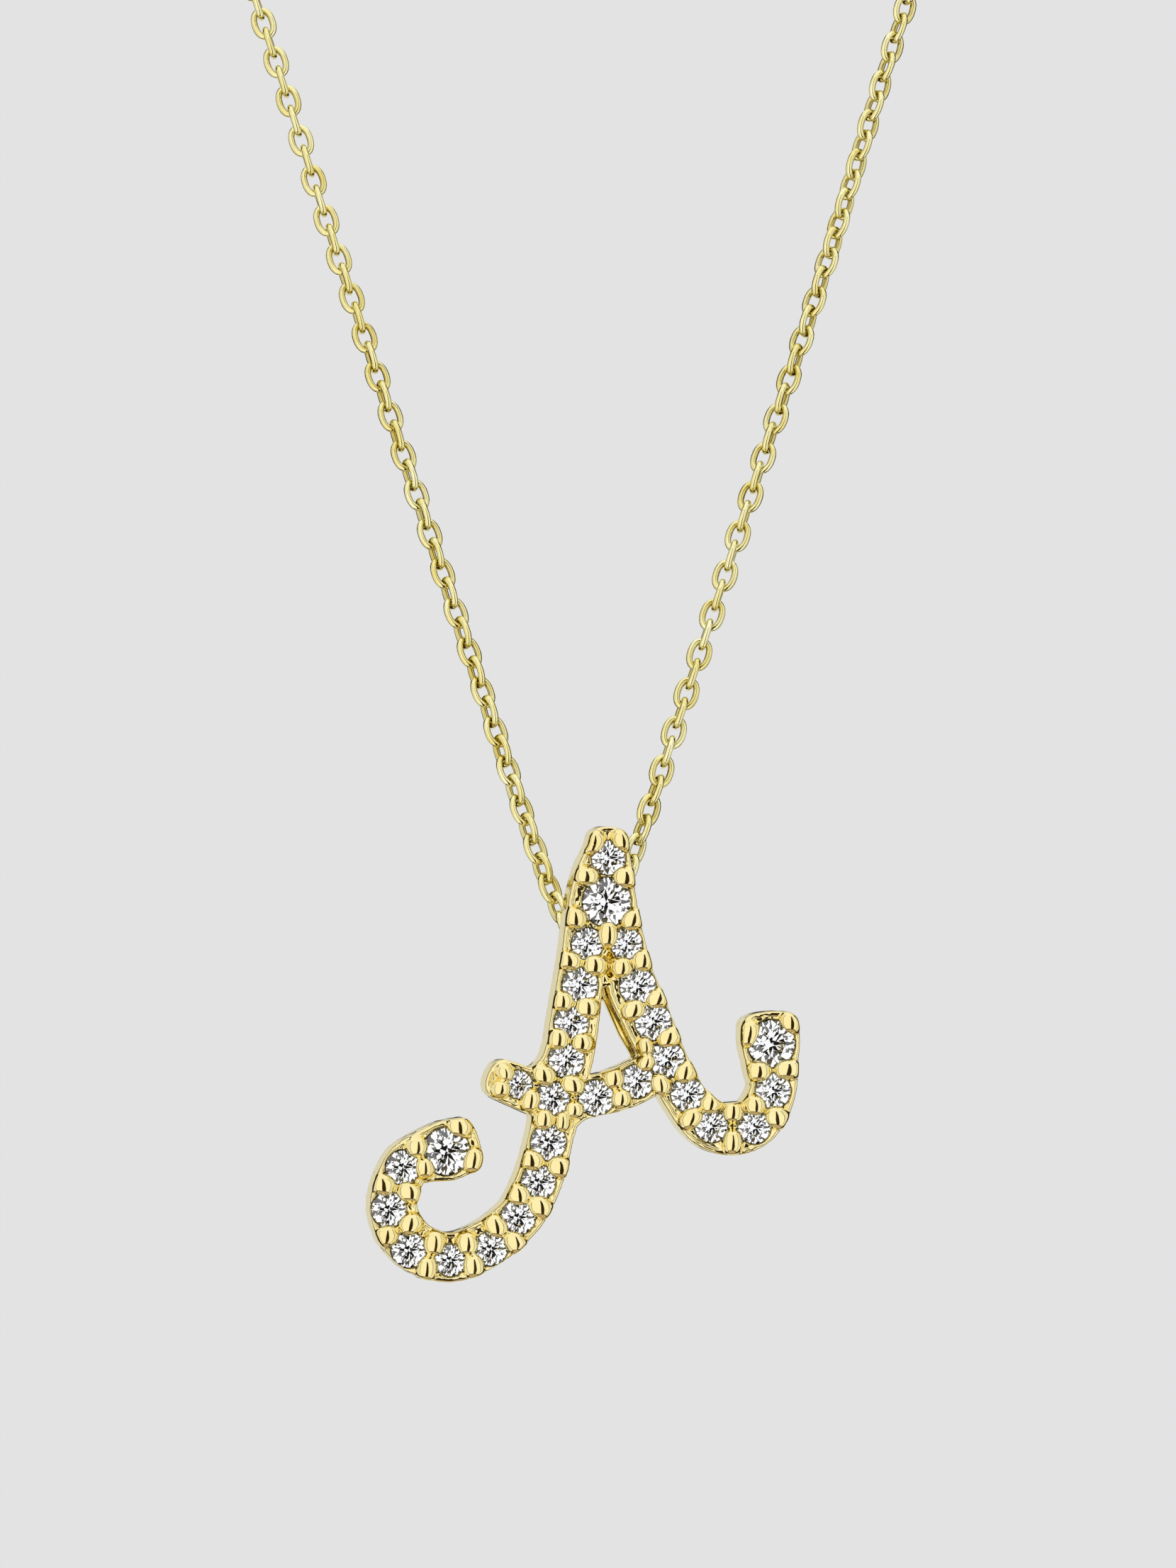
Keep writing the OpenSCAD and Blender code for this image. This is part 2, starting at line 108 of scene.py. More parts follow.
# Prongs between two stones: the stones, then the distances to both sides as shares of PRONG_OFF.
GAP_PRONGS = [
    [1, 2, 1.45, 1.65], [2, 3, 0, 1.65], [2, 4, 1.25, 0], [3, 4, 0.70, 0], [3, 5, 0.92, 1.20],
    [4, 8, 0.85, 0.85], [5, 6, 0.85, 1.00], [8, 9, 1.00, 1.12], [6, 7, 1.05, 0.80], [9, 10, 0.80, 1.25],
    [7, 17, 1.05, 1.25], [16, 17, 0, 0.75], [17, 18, 0, 0.85], [18, 19, 0.90, 0.75], [19, 10, 0.75, 1.25],
    [10, 11, 0.80, 0], [11, 12, 1.10, 0.95], [12, 13, 1.15, 1.15], [13, 14, 0.85, 1.25],
    [14, 15, 1.10, 1.20], [17, 20, 0.95, 0.60], [20, 21, 1.30, 1.00], [21, 22, 1.05, 1.00],
    [22, 23, 1.10, 0.95], [23, 24, 0.90, 0.95], [24, 25, 1.00, 1.05], [25, 26, 1.05, 1.05],
    [26, 27, 1.10, 1.05], [27, 28, 1.15, 0.65]]
# Prongs round an end stone: the stone, the angle in degrees and a share of the distance from its girdle.
END_PRONGS = [
    [1, 51, 1], [1, 136, 1], [16, 139, 1], [16, 194, 1], [15, 47, 1], [15, 158, 0.25], [28, 61, 1],
    [28, -19, 1]]

# Route of the chain's right half from the bail to its jump ring; the left half is its mirror image.
ROUTE = [
    [0, -78, -127.5], [0.32, -78, -127.44], [0.56, -77.95, -127.2], [0.76, -77.8, -126.8],
    [0.96, -77.65, -126.3], [1.3, -77.3, -125.4], [2.5, -76.1, -121.7], [5.1, -73.3, -114],
    [8.5, -69.6, -103.7], [11.7, -66.2, -93.4], [18, -59.4, -74.6], [25, -51.8, -53.7],
    [31.5, -44.8, -34.3], [36.3, -39.6, -20], [38.2, -37.4, -14.5], [40, -35.1, -10.6],
    [42.5, -31.7, -7.6], [46.4, -25.4, -4.8], [49.5, -18.5, -3.2], [51.7, -11.2, -2.2],
    [52.8, -3.7, -1.5], [52.9, 3.7, -1], [51.8, 11, -0.6], [49.8, 18.1, -0.3],
    [46.8, 24.9, -0.1], [42.9, 31.2, 0], [38.1, 36.8, 0], [32.6, 41.8, 0],
    [26.5, 45.9, 0], [20, 49.2, 0], [13.5, 51.4, 0], [8.1, 52.6, 0]]


def mesh_object(name, points, faces, normals=None):
    """A smooth object from points in metres and arrays of faces, each array of faces with as many corners."""
    mesh = bpy.data.meshes.new(name)
    counts = np.concatenate([np.full(len(group), len(group[0])) for group in faces])
    loops = np.concatenate([np.asarray(group, np.int32).ravel() for group in faces])
    starts = np.concatenate([[0], np.cumsum(counts)[:-1]]).astype(np.int32)
    mesh.vertices.add(len(points))
    mesh.vertices.foreach_set("co", np.asarray(points, np.float32).ravel())
    mesh.loops.add(len(loops))
    mesh.loops.foreach_set("vertex_index", loops)
    mesh.polygons.add(len(starts))
    mesh.polygons.foreach_set("loop_start", starts)
    mesh.update(calc_edges=True)
    mesh.polygons.foreach_set("use_smooth", [True] * len(starts))
    if normals is not None:
        mesh.normals_split_custom_set_from_vertices(np.asarray(normals, np.float32).tolist())
    obj = bpy.data.objects.new(name, mesh)
    bpy.context.scene.collection.objects.link(obj)
    return obj


def smooth_max(a, b, k):
    """The larger of two distances, with the edge between them rounded over a width k."""
    h = np.maximum(k - np.abs(a - b), 0) / k
    return np.maximum(a, b) + h * h * k / 4


def smooth_min(a, b, k):
    return -smooth_max(-a, -b, k)


class Field:
    """Signed distances in millimetres on a box of voxels, negative inside the metal."""

    LIMIT = 1.0             # distances matter up to this
    NORMAL_STEP = 0.8       # how far apart the surface's slope is measured, in voxels

    def __init__(self, low, high, voxel):
        self.low, self.voxel = np.array(low, np.float32), voxel
        counts = np.ceil((np.array(high) - low) / voxel).astype(int) + 1
        self.axes = [self.low[i] + voxel * np.arange(counts[i], dtype=np.float32) for i in range(3)]
        self.d = np.full(counts, self.LIMIT, np.float32)

    def window(self, low=(-FAR,) * 3, high=(FAR,) * 3):
        """The part of the field in a box, with its three coordinates ready to combine."""
        first = [max(0, int((low[i] - self.low[i]) / self.voxel)) for i in range(3)]
        last = [max(0, int((high[i] - self.low[i]) / self.voxel) + 2) for i in range(3)]
        cut = tuple(slice(a, b) for a, b in zip(first, last))
        x, y, z = (self.axes[i][cut[i]] for i in range(3))
        return cut, x[:, None, None], y[None, :, None], z[None, None, :]

    def column(self, middle, reach, floor):
        """The part of the field round a point of the flat letter, from a height up."""
        x, y = middle
        return self.window((x - reach, y - reach, floor), (x + reach, y + reach, FAR))

    def sample(self, points):
        """The field at points in millimetres, between voxels."""
        where = (points - self.low) / self.voxel
        base = np.clip(where.astype(int), 0, np.array(self.d.shape) - 2)
        part = where - base
        total = np.zeros(len(points), np.float32)
        for corner in range(8):
            step = np.array([corner & 1, corner >> 1 & 1, corner >> 2 & 1])
            weight = np.prod(np.where(step, part, 1 - part), axis=1)
            i = base + step
            total += weight * self.d[i[:, 0], i[:, 1], i[:, 2]]
        return total

    def to_object(self, name, matrix, adaptivity):
        """A closed smooth mesh of the surface, moved by a matrix from millimetres to the scene."""
        grid = openvdb.FloatGrid(self.LIMIT)
        grid.copyFromArray(np.ascontiguousarray(np.clip(self.d, -self.LIMIT, self.LIMIT)))
        points, triangles, quads = grid.convertToPolygons(0.0, adaptivity)
        points = points * self.voxel + self.low
        normals = np.zeros_like(points)
        for axis in range(3):
            step = np.zeros(3, np.float32)
            step[axis] = self.NORMAL_STEP * self.voxel
            normals[:, axis] = self.sample(points + step) - self.sample(points - step)
        normals /= np.maximum(np.linalg.norm(normals, axis=1, keepdims=True), 1e-9)
        turn = np.array(matrix.to_3x3().normalized())
        place = np.array(matrix)
        points = points @ place[:3, :3].T + place[:3, 3]
        faces = [g for g in (triangles, quads) if len(g)]
        return mesh_object(name, points, faces, normals @ turn.T)


def between(a, b, c, d, t):
    """A point of the smooth curve from b to c that comes from a and runs on to d."""
    square, cube = 2 * a - 5 * b + 4 * c - d, 3 * b - a - 3 * c + d
    return 0.5 * (2 * b + (c - a) * t + square * t * t + cube * t ** 3)


def smooth_rows(rows, steps):
    """A smooth curve through the rows of a table, with so many steps between rows."""
    rows = np.array(rows, float)
    last = len(rows) - 1
    made = [between(rows[max(i - 1, 0)], rows[i], rows[i + 1], rows[min(i + 2, last)], k / steps)
            for i in range(last) for k in range(steps)]
    return np.array(made + [rows[last]])


def rounded_prism(flat, up, edge_r):
    """A prism from its outline's distance and its ends' distance, with rounded edges."""
    out, up = flat + edge_r, up + edge_r
    return np.minimum(np.maximum(out, up), 0) + np.hypot(np.maximum(out, 0), np.maximum(up, 0)) - edge_r


RIPPLE_SEED = 11
RIPPLE_SPREAD = (0.7, 1.5)      # the shortest and the longest wave, in shares of their usual length
RIPPLE_SCALE = 1.4              # brings the waves' sum to about 1


def ripples(x, y, z, count, length):
    """Smooth random waves between about -1 and 1, so many of them, each about a length long."""
    chance = np.random.default_rng(RIPPLE_SEED)
    total = 0
    for _ in range(count):
        way = chance.normal(size=3)
        way *= 2 * math.pi / (length * chance.uniform(*RIPPLE_SPREAD) * np.linalg.norm(way))
        wave = np.sin(way[0] * x + way[1] * y + way[2] * z + chance.uniform(0, 2 * math.pi))
        total = total + wave.astype(np.float32)
    return total * (RIPPLE_SCALE / math.sqrt(count))


def stroke_outline(rows, start_reach, end_reach):
    """The closed outline of a stroke in millimetres."""
    line = smooth_rows(np.array(rows) * [LETTER_H, LETTER_H, STROKE_W], STATION_STEPS)

    def end(p, q, reach):
        """Rows that close the stroke with a rounded end past p, away from q."""
        way = (p[:2] - q[:2]) / np.linalg.norm(p[:2] - q[:2])
        made = []
        for k in range(1, END_STEPS + 1):
            t = math.sin(math.radians(90 * k / END_STEPS))
            width = p[2] * max(1 - t ** END_POWER, END_TIP) ** (1 / END_POWER)
            made.append([*(p[:2] + way * reach * STROKE_W * t), width])
        return made

    head = end(line[0], line[1], start_reach)[::-1] if start_reach else []
    tail = end(line[-1], line[-2], end_reach) if end_reach else []
    line = np.array(head + line.tolist() + tail)
    ahead, behind = np.vstack([line[1:], line[-1:]]), np.vstack([line[:1], line[:-1]])
    way = (ahead - behind)[:, :2]
    way /= np.linalg.norm(way, axis=1, keepdims=True)
    side = np.stack([-way[:, 1], way[:, 0]], axis=1) * line[:, 2:] / 2
    return np.vstack([line[:, :2] + side, (line[:, :2] - side)[::-1]])


def outline_distance(outline, x, y):
    """Signed distance from each point of a flat grid to a closed outline, negative inside."""
    nearest = np.full((len(x), len(y)), 1e9, np.float32)
    winding = np.zeros_like(nearest)
    px, py = x[:, None], y[None, :]
    for (ax, ay), (bx, by) in zip(outline, np.roll(outline, -1, axis=0)):
        ex, ey = bx - ax, by - ay
        wx, wy = px - ax, py - ay
        t = np.clip((wx * ex + wy * ey) / max(ex * ex + ey * ey, 1e-12), 0, 1)
        nearest = np.minimum(nearest, (wx - ex * t) ** 2 + (wy - ey * t) ** 2)
        left = ex * wy - ey * wx
        winding += ((wy >= 0) & (py < by) & (left > 0)).astype(np.float32)
        winding -= ((wy < 0) & (py >= by) & (left < 0)).astype(np.float32)
    return np.where(winding != 0, -1, 1) * np.sqrt(nearest)


def letter_matrix():
    """From the letter's own millimetres, back of the plate at z = 0, to the scene."""
    return (Matrix.Translation(Vector(BAIL_POINT) * MM) @ Matrix.Rotation(math.radians(LETTER_TURN), 4, "Z")
            @ Matrix.Rotation(math.pi / 2, 4, "X") @ Matrix.Translation((0, 0, AXIS_BACK * MM))
            @ Matrix.Scale(MM, 4))


def stones_of(frame):
    """Each stone's middle and radius in the letter's millimetres, read from its node."""
    back = np.array(letter_matrix().inverted())
    found = {}
    for name, obj in frame["nodes"].items():
        if not name.startswith("stone_"):
            continue
        points = np.empty(len(obj.data.vertices) * 3, np.float32)
        obj.data.vertices.foreach_get("co", points)
        place = np.array(obj.matrix_world)
        points = points.reshape(-1, 3) @ place[:3, :3].T + place[:3, 3]
        local = points @ back[:3, :3].T + back[:3, 3]
        low, high = local.min(axis=0), local.max(axis=0)
        found[int(name[-2:])] = ((low[:2] + high[:2]) / 2, (high[0] - low[0]) / 2)
    return found


def prong_places(stones):
    """Each prong's middle and the direction of its stroke there."""
    places = []
    for a, b, left, right in GAP_PRONGS:
        (p, pr), (q, qr) = stones[a], stones[b]
        run = q - p
        length = np.linalg.norm(run)
        way = run / length
        middle = p + way * (length + pr - qr) / 2
        side = np.array([-way[1], way[0]]) * PRONG_OFF
        places += [(middle + side * left, way)] * (left > 0) + [(middle - side * right, way)] * (right > 0)
    for n, angle, share in END_PRONGS:
        p, r = stones[n]
        out = np.array([math.cos(math.radians(angle)), math.sin(math.radians(angle))])
        places.append((p + (r + (PRONG_D / 2 - END_PRONG_LAP) * share) * out, out))
    return places


# The letter's finish, in millimetres.
LETTER_VOXEL = 0.036
LETTER_ADAPTIVITY = 0.1                     # how much the flat parts of its mesh are thinned out
LETTER_LOW, LETTER_HIGH = (-8.4, -12.2), (7.8, 4.6)     # room for its outline and prongs
ROOM_BEHIND, ROOM_BEFORE = 0.4, 0.45        # room behind the bail and before the plate's front
BLEND, FINE_BLEND = 0.12, 0.08              # how wide forms run into each other where they meet
EDGE_R = 0.11                               # rounding of the letter's edges
RIM_W, RIM_SLOPE, CHANNEL = 0.12, 0.08, 0.06    # the rim, the slope inside it and the front's depth there
WEB_LIFT = 0.02                             # how far the web stands off the letter's back
RIPPLE_FLOOR, RIPPLE_COUNT, RIPPLE_LENGTH = 0.9, 14, 0.30
RIPPLE_INSET, RIPPLE_SLOPE = 0.06, 0.1      # where the ripples of the front begin to grow, from the edge
RIPPLE_LOW, RIPPLE_MORE = 0.003, 0.006      # their height at the edge, and what is added inside it
PRONG_ALONG = PRONG_D / 2 + 0.05            # half a prong along its stroke
PRONG_ACROSS = PRONG_D / 2 + 0.14           # the most that half a prong takes across it
PRONG_DOME, PRONG_FOOT = 0.4, 0.5           # height of its dome, and where its foot starts
PRONG_LAP = 0.05                            # how far it runs into the next prong or past the letter's edge
PRONG_LEAN = 0.12                           # how far its top may slope
PRONG_TAPER = 0.15                          # how far its outer side leans in on its way up
PRONG_POWER = 2.2                           # 2 is a round cushion, more is squarer
PRONG_LENGTHS, PRONG_WIDTHS = (0.94, 1.05), (0.92, 1.05)    # how much prongs differ
PRONG_SEED = 5
PRONG_EDGE_BLEND, PRONG_FOOT_BLEND = 0.1, 0.03
HOLE_FLARE, HOLE_LEAN = 0.12, 0.7           # widening of a seat's open back
SOLDER_T = 0.4                              # how deep the bail runs into the letter
# The room round it in which each form can change the metal.
BRIGHT_REACH, BRIGHT_DEPTH = 0.6, 0.4
PRONG_REACH, SEAT_REACH = 0.7, 0.2
GROOVE_LOW, GROOVE_HIGH = (0, -2, 0.4), (1.3, 0.4, FAR)
BAIL_REACH, BAIL_SIDE, BAIL_TOP = 0.6, 0.9, 0.5


def letter_outline(x, y):
    """Distance to the letter's outline on a flat grid, with the filled corners."""
    flat = outline_distance(stroke_outline(LEFT_STROKE, TOP_REACH, CURL_REACH), x, y)
    for rows, start_reach, end_reach in ((RIGHT_STROKE, TOP_REACH, HOOK_REACH), (CROSSBAR, BAR_REACH, 0)):
        flat = smooth_min(flat, outline_distance(stroke_outline(rows, start_reach, end_reach), x, y), BLEND)
    for corner in CORNERS:
        flat = smooth_min(flat, outline_distance(np.array(corner) * LETTER_H, x, y), FINE_BLEND)
    return flat


def add_plate(field, flat):
    """The letter, whose front lies lower inside a thin rim, and the web behind its legs."""
    inside = np.clip((-flat - RIM_W) / RIM_SLOPE, 0, 1)
    front = PLATE_T - CHANNEL * inside * inside * (3 - 2 * inside)
    _, _, _, gz = field.window()
    field.d = rounded_prism(flat[:, :, None], np.maximum(gz - front[:, :, None], -gz), EDGE_R)
    web = outline_distance(np.array(WEB) * LETTER_H, *field.axes[:2])[:, :, None]
    web = rounded_prism(web, np.maximum(gz - WEB_T, WEB_LIFT - gz), EDGE_R)
    field.d = smooth_min(field.d, web, BLEND)


def add_ripples(field, flat):
    """A trace of the casting, which the front keeps between the prongs."""
    cut, gx, gy, gz = field.window((-FAR, -FAR, RIPPLE_FLOOR))
    inner = np.clip((-flat - RIPPLE_INSET) / RIPPLE_SLOPE, 0, 1)[:, :, None]
    field.d[cut] += (RIPPLE_LOW + RIPPLE_MORE * inner) * ripples(gx, gy, gz, RIPPLE_COUNT, RIPPLE_LENGTH)


def cut_groove(field):
    """The groove where the two legs part."""
    x, y, radius = GROOVE[0] * LETTER_H, GROOVE[1] * LETTER_H, GROOVE_L / 2
    cut, gx, gy, gz = field.window(GROOVE_LOW, GROOVE_HIGH)
    across, along, deep = (gx - x) / (GROOVE_W / 2), (gy - y) / radius, (gz - PLATE_T) / radius
    hollow = np.sqrt(across ** 2 + along ** 2 + deep ** 2)
    field.d[cut] = smooth_max(field.d[cut], (1 - hollow) * GROOVE_W / 2, FINE_BLEND)


def cut_bright_lines(field, stones):
    """The bright cut round each stone, which leans back from its girdle."""
    slope = STONE_SINK / BRIGHT_CUT
    for p, r in stones.values():
        cut, gx, gy, gz = field.column(p, r + BRIGHT_REACH, GIRDLE_Z - BRIGHT_DEPTH)
        rho = np.hypot(gx - p[0], gy - p[1])
        cone = (rho - r - SEAT_GAP - (gz - GIRDLE_Z) / slope) / math.hypot(1, 1 / slope)
        field.d[cut] = np.maximum(field.d[cut], -np.maximum(cone, GIRDLE_Z - gz))


def add_prongs(field, flat, stones):
    """Prongs as cushions that fill the room between their neighbours and end near the letter's edge."""
    chance = random.Random(PRONG_SEED)
    places = prong_places(stones)
    for n, (p, way) in enumerate(places):
        room = min(np.linalg.norm(p - q) for k, (q, _) in enumerate(places) if k != n)
        across = min(PRONG_ACROSS, room / 2 + PRONG_LAP)
        cut, gx, gy, gz = field.column(p, PRONG_REACH, PRONG_FOOT)
        dx, dy = gx - p[0], gy - p[1]
        lean = dx * chance.uniform(-PRONG_LEAN, PRONG_LEAN) + dy * chance.uniform(-PRONG_LEAN, PRONG_LEAN)
        u = np.abs(dx * way[0] + dy * way[1]) / (PRONG_ALONG * chance.uniform(*PRONG_LENGTHS))
        v = np.abs(dy * way[0] - dx * way[1]) / (across * chance.uniform(*PRONG_WIDTHS))
        high = np.maximum(gz - PLATE_T - PRONG_RISE + PRONG_DOME + lean, 0) / PRONG_DOME
        post = ((u ** PRONG_POWER + v ** PRONG_POWER) ** (2 / PRONG_POWER) + high ** 2) ** 0.5 - 1
        post = post * (PRONG_D / 2)
        edge = flat[cut[0], cut[1], None] - PRONG_LAP + PRONG_TAPER * np.maximum(gz - PLATE_T, 0)
        post = smooth_max(post, edge, PRONG_EDGE_BLEND)
        field.d[cut] = smooth_min(field.d[cut], post, PRONG_FOOT_BLEND)


def cut_seats(field, stones):
    """Each stone's room, with its clearance and an open back."""
    crown, pavilion = math.radians(CROWN_ANGLE), math.radians(PAVILION_ANGLE)
    low = GIRDLE_Z - GIRDLE_T - SEAT_GAP
    for p, r in stones.values():
        cut, gx, gy, gz = field.column(p, r + SEAT_REACH, -FAR)
        rho = np.hypot(gx - p[0], gy - p[1])
        wide, table, open_r = r + SEAT_GAP, r * TABLE_SHARE + SEAT_GAP, r * SEAT_HOLE_SHARE
        above = (rho - wide) * math.sin(crown) + (gz - GIRDLE_Z - SEAT_GAP) * math.cos(crown)
        below = (rho - wide) * math.sin(pavilion) - (gz - low) * math.cos(pavilion)
        room = np.maximum(np.maximum(rho - wide, above), below)
        room = np.minimum(room, np.maximum(rho - table, GIRDLE_Z - gz))
        hole = np.maximum(rho - open_r, gz - GIRDLE_Z)
        hole = np.minimum(hole, (rho - open_r - HOLE_FLARE + gz) * HOLE_LEAN)
        field.d[cut] = np.maximum(field.d[cut], -np.minimum(room, hole))


def add_bail(field):
    """The hidden bail, soldered behind the letter's top."""
    reach = BAIL_R + BAIL_REACH
    cut, gx, gy, gz = field.window((-BAIL_SIDE, -reach, -FAR), (BAIL_SIDE, reach, BAIL_TOP))
    ring = np.hypot(np.hypot(gy, gz + AXIS_BACK) - BAIL_R, gx) - BAIL_WIRE_D / 2
    ring = np.maximum(ring, gz - SOLDER_T)
    field.d[cut] = smooth_min(field.d[cut], ring, BLEND)


def letter_object(stones):
    field = Field((*LETTER_LOW, -AXIS_BACK - BAIL_R - ROOM_BEHIND), (*LETTER_HIGH, PLATE_T + ROOM_BEFORE),
                  LETTER_VOXEL)
    flat = letter_outline(*field.axes[:2])
    add_plate(field, flat)
    add_ripples(field, flat)
    cut_groove(field)
    cut_bright_lines(field, stones)
    add_prongs(field, flat, stones)
    cut_seats(field, stones)
    add_bail(field)
    return field.to_object("letter", letter_matrix(), LETTER_ADAPTIVITY)


# The chain's links, in millimetres: wire, outer length and outer width.
LINK_WIRE = 0.242
LINK_LENGTH = 1.28
LINK_WIDTH = 0.9
LINK_POWER = 2.25               # 2 is an oval, more is squarer
LINK_STEPS, LINK_SIDES = 24, 8  # points along a link's wire and round it
LINK_COUNT = 312
LINK_WOBBLE = 3                 # how far a link may roll off its place, in degrees
END_LINK = (1.24, 1.0, 0.26)    # outer length, outer width and wire of the link on the jump ring
END_PLAY = 0.02                 # slack between that link and the one before
RING_CONTACT = (7.45, 52.6, 0)  # where that link hangs in the jump ring
ROUTE_STEPS = 24                # points between two rows of the route
CHAIN_SEED = 7
NECK_START, NECK_SPAN = 60, 60  # where the links begin to turn away from the neck, and over how far
# The links' roll about the strand and the strand's drift outwards, by distance from the bail. A roll of 0
# turns an even link's width across the view, and 90 towards the camera.
LEFT_ROLL = [
    (0, 25), (1.2, 18), (1.9, 50), (6, 54), (12.9, 60), (23.5, 75), (35.5, 92), (70, 100), (250, 90)]
RIGHT_ROLL = [
    (0, 45), (3.5, 46), (8, 84), (10, 84), (24, 115), (36, 152), (50, 175), (90, 180), (250, 180)]
LEFT_DRIFT = [
    (0, 0), (0.6, -0.05), (1.45, -0.11), (2.3, -0.08), (3, -0.06), (3.9, -0.02), (4.8, 0.02), (7, 0.05),
    (10, 0.02), (26, 0.04), (34, 0.16), (38, 0.18), (60, 0)]
RIGHT_DRIFT = [(0, 0), (3.6, 0.04), (4.3, 0.1), (6.8, 0.13), (8, 0.1), (12, 0.06), (20, 0)]
# How far the links near the bail have slipped up the strand.
LEFT_SLIP = [
    (-0.4, 0.37), (1.4, 0.25), (2.2, 0.25), (3, 0.22), (3.8, 0.2), (4.6, 0.17), (6, 0.11), (9, 0.06),
    (20, 0.06), (26, 0.1), (30, 0.06), (34, 0.12), (60, 0)]
RIGHT_SLIP = [
    (-0.4, 0.39), (1.4, 0.3), (3.6, 0.27), (4.5, 0.24), (7, 0.16), (9, 0.1), (11, 0.06), (27, 0.05),
    (31, 0), (60, 0)]


def route_curve():
    """The right half's dense line, ending inside its jump ring, and its length up to each point."""
    points = smooth_rows([*ROUTE, RING_CONTACT], ROUTE_STEPS)
    run = np.concatenate([[0], np.cumsum(np.linalg.norm(np.diff(points, axis=0), axis=1))])
    return points, run


def link_points(length, width, wire):
    """One link round the origin, long along x and flat in z: rings of points round its wire."""
    a, b = (length - wire) / 2, (width - wire) / 2
    turn = 2 * math.pi * np.arange(LINK_STEPS) / LINK_STEPS
    power = 2 / LINK_POWER
    mid = np.stack([a * np.sign(np.cos(turn)) * np.abs(np.cos(turn)) ** power,
                    b * np.sign(np.sin(turn)) * np.abs(np.sin(turn)) ** power], axis=1)
    way = np.roll(mid, -1, axis=0) - np.roll(mid, 1, axis=0)
    way /= np.linalg.norm(way, axis=1, keepdims=True)
    out = np.stack([way[:, 1], -way[:, 0]], axis=1)
    around = 2 * math.pi * np.arange(LINK_SIDES) / LINK_SIDES
    ring = mid[:, None, :] + out[:, None, :] * np.cos(around)[None, :, None] * wire / 2
    z = np.broadcast_to(np.sin(around) * wire / 2, ring.shape[:2])
    return np.concatenate([ring, z[:, :, None]], axis=2).reshape(-1, 3)


def link_faces():
    i, k = np.meshgrid(np.arange(LINK_STEPS), np.arange(LINK_SIDES), indexing="ij")
    j, m = (i + 1) % LINK_STEPS, (k + 1) % LINK_SIDES
    a, b = i * LINK_SIDES, j * LINK_SIDES
    return np.stack([a + k, a + m, b + m, b + k], axis=-1).reshape(-1, 4)


def chain_object(name, side, shift, roll, drift, slip):
    """Half the chain: real links along the route, each turned about 90 degrees from the last.

    side is 1 for the right half and -1 for the left, and shift moves all its links along the strand.
    """
    points, run = route_curve()
    wobble = random.Random(CHAIN_SEED + side)
    end_span = END_LINK[0] - 2 * END_LINK[2] + END_PLAY
    pitch = (run[-1] - end_span - shift) / (LINK_COUNT + 0.5)
    joints = [shift + (k - 0.5) * pitch for k in range(LINK_COUNT + 2)]
    joints = [s + np.interp(s, *zip(*slip)) for s in joints] + [run[-1]]
    plain, last = link_points(LINK_LENGTH, LINK_WIDTH, LINK_WIRE), link_points(*END_LINK)
    faces = link_faces()
    made, made_faces = [], []

    def at(s):
        """The strand's point at a distance from the bail, on the other side of it if that is below 0."""
        p = np.array([np.interp(abs(s), run, points[:, i]) for i in range(3)])
        p[0] += np.interp(abs(s), *zip(*drift))
        return p * [math.copysign(1, s if s else 1), 1, 1]

    for k in range(len(joints) - 1):
        a, b = at(joints[k]), at(joints[k + 1])
        middle, along = (a + b) / 2, (b - a) / np.linalg.norm(b - a)
        s = abs(joints[k] + joints[k + 1]) / 2
        # A link faces the camera in front and away from the neck farther up, square to the strand.
        away = middle * [1, 1, 0] / np.linalg.norm(middle[:2])
        behind = min(max((s - NECK_START) / NECK_SPAN, 0), 1)
        out = np.array([0, -1.0, 0]) * (1 - behind) + away * behind
        face = out - along * (out @ along)
        face /= np.linalg.norm(face)
        across = np.cross(along, face) * side
        angle = np.interp(s, *zip(*roll)) + 90 * (k % 2) + wobble.uniform(-LINK_WOBBLE, LINK_WOBBLE)
        angle = math.radians(angle)
        flat = across * math.cos(angle) + face * math.sin(angle)
        turned = np.stack([along, flat, np.cross(along, flat)])
        made_faces.append(faces + len(made) * len(plain))
        made.append((last if k == len(joints) - 2 else plain) @ turned + middle)
    all_points = np.concatenate(made) * [side * MM, MM, MM]
    all_faces = np.concatenate(made_faces)
    half = mesh_object(name, all_points, [all_faces if side > 0 else all_faces[:, ::-1]])
    # How far round to the inside of its link each point is, from 0 outside to 1 inside: the mask of the
    # painted shade there.
    inner = ((1 - np.cos(2 * math.pi * np.arange(LINK_SIDES) / LINK_SIDES)) / 2) ** 3
    inner = np.tile(inner.astype(np.float32), LINK_STEPS * len(made))
    half.data.attributes.new("inner", "FLOAT", "POINT").data.foreach_set("value", inner)
    return half


# The clasp's sizes, the same as the solid's, and its finish, in millimetres.
CLASP_REACH, CLASP_HOLE_R, CLASP_WALL = 10.6, 0.657, 0.7
HOOK_SHARE = 0.9                            # length of the hook's straight part, in shares of its half height
CLASP_VOXEL, CLASP_ADAPTIVITY, CLASP_EDGE_R = 0.06, 0.02, 0.32
CLASP_MARGIN = 0.3                          # room for voxels round its box
NECK_MORE = 0.05                            # how much wider the neck starts than the eye's wall
NECK_BLEND, EYE_BLEND, LEVER_BLEND = 0.5, 0.4, 0.15
LEVER_BACK, LEVER_SINK, LEVER_R = 0.1, 0.25, 0.42   # the trigger's lever, from the hook's near corner
PIN_BACK, PIN_R = 0.75, 0.3                 # the line round the trigger's pin
SEAM_AHEAD, SEAM_LOW = 0.3, 0.5             # the line where the trigger closes
LINE_HALF, LINE_DEPTH = 0.03, 0.08          # half the width of both lines, and their depth


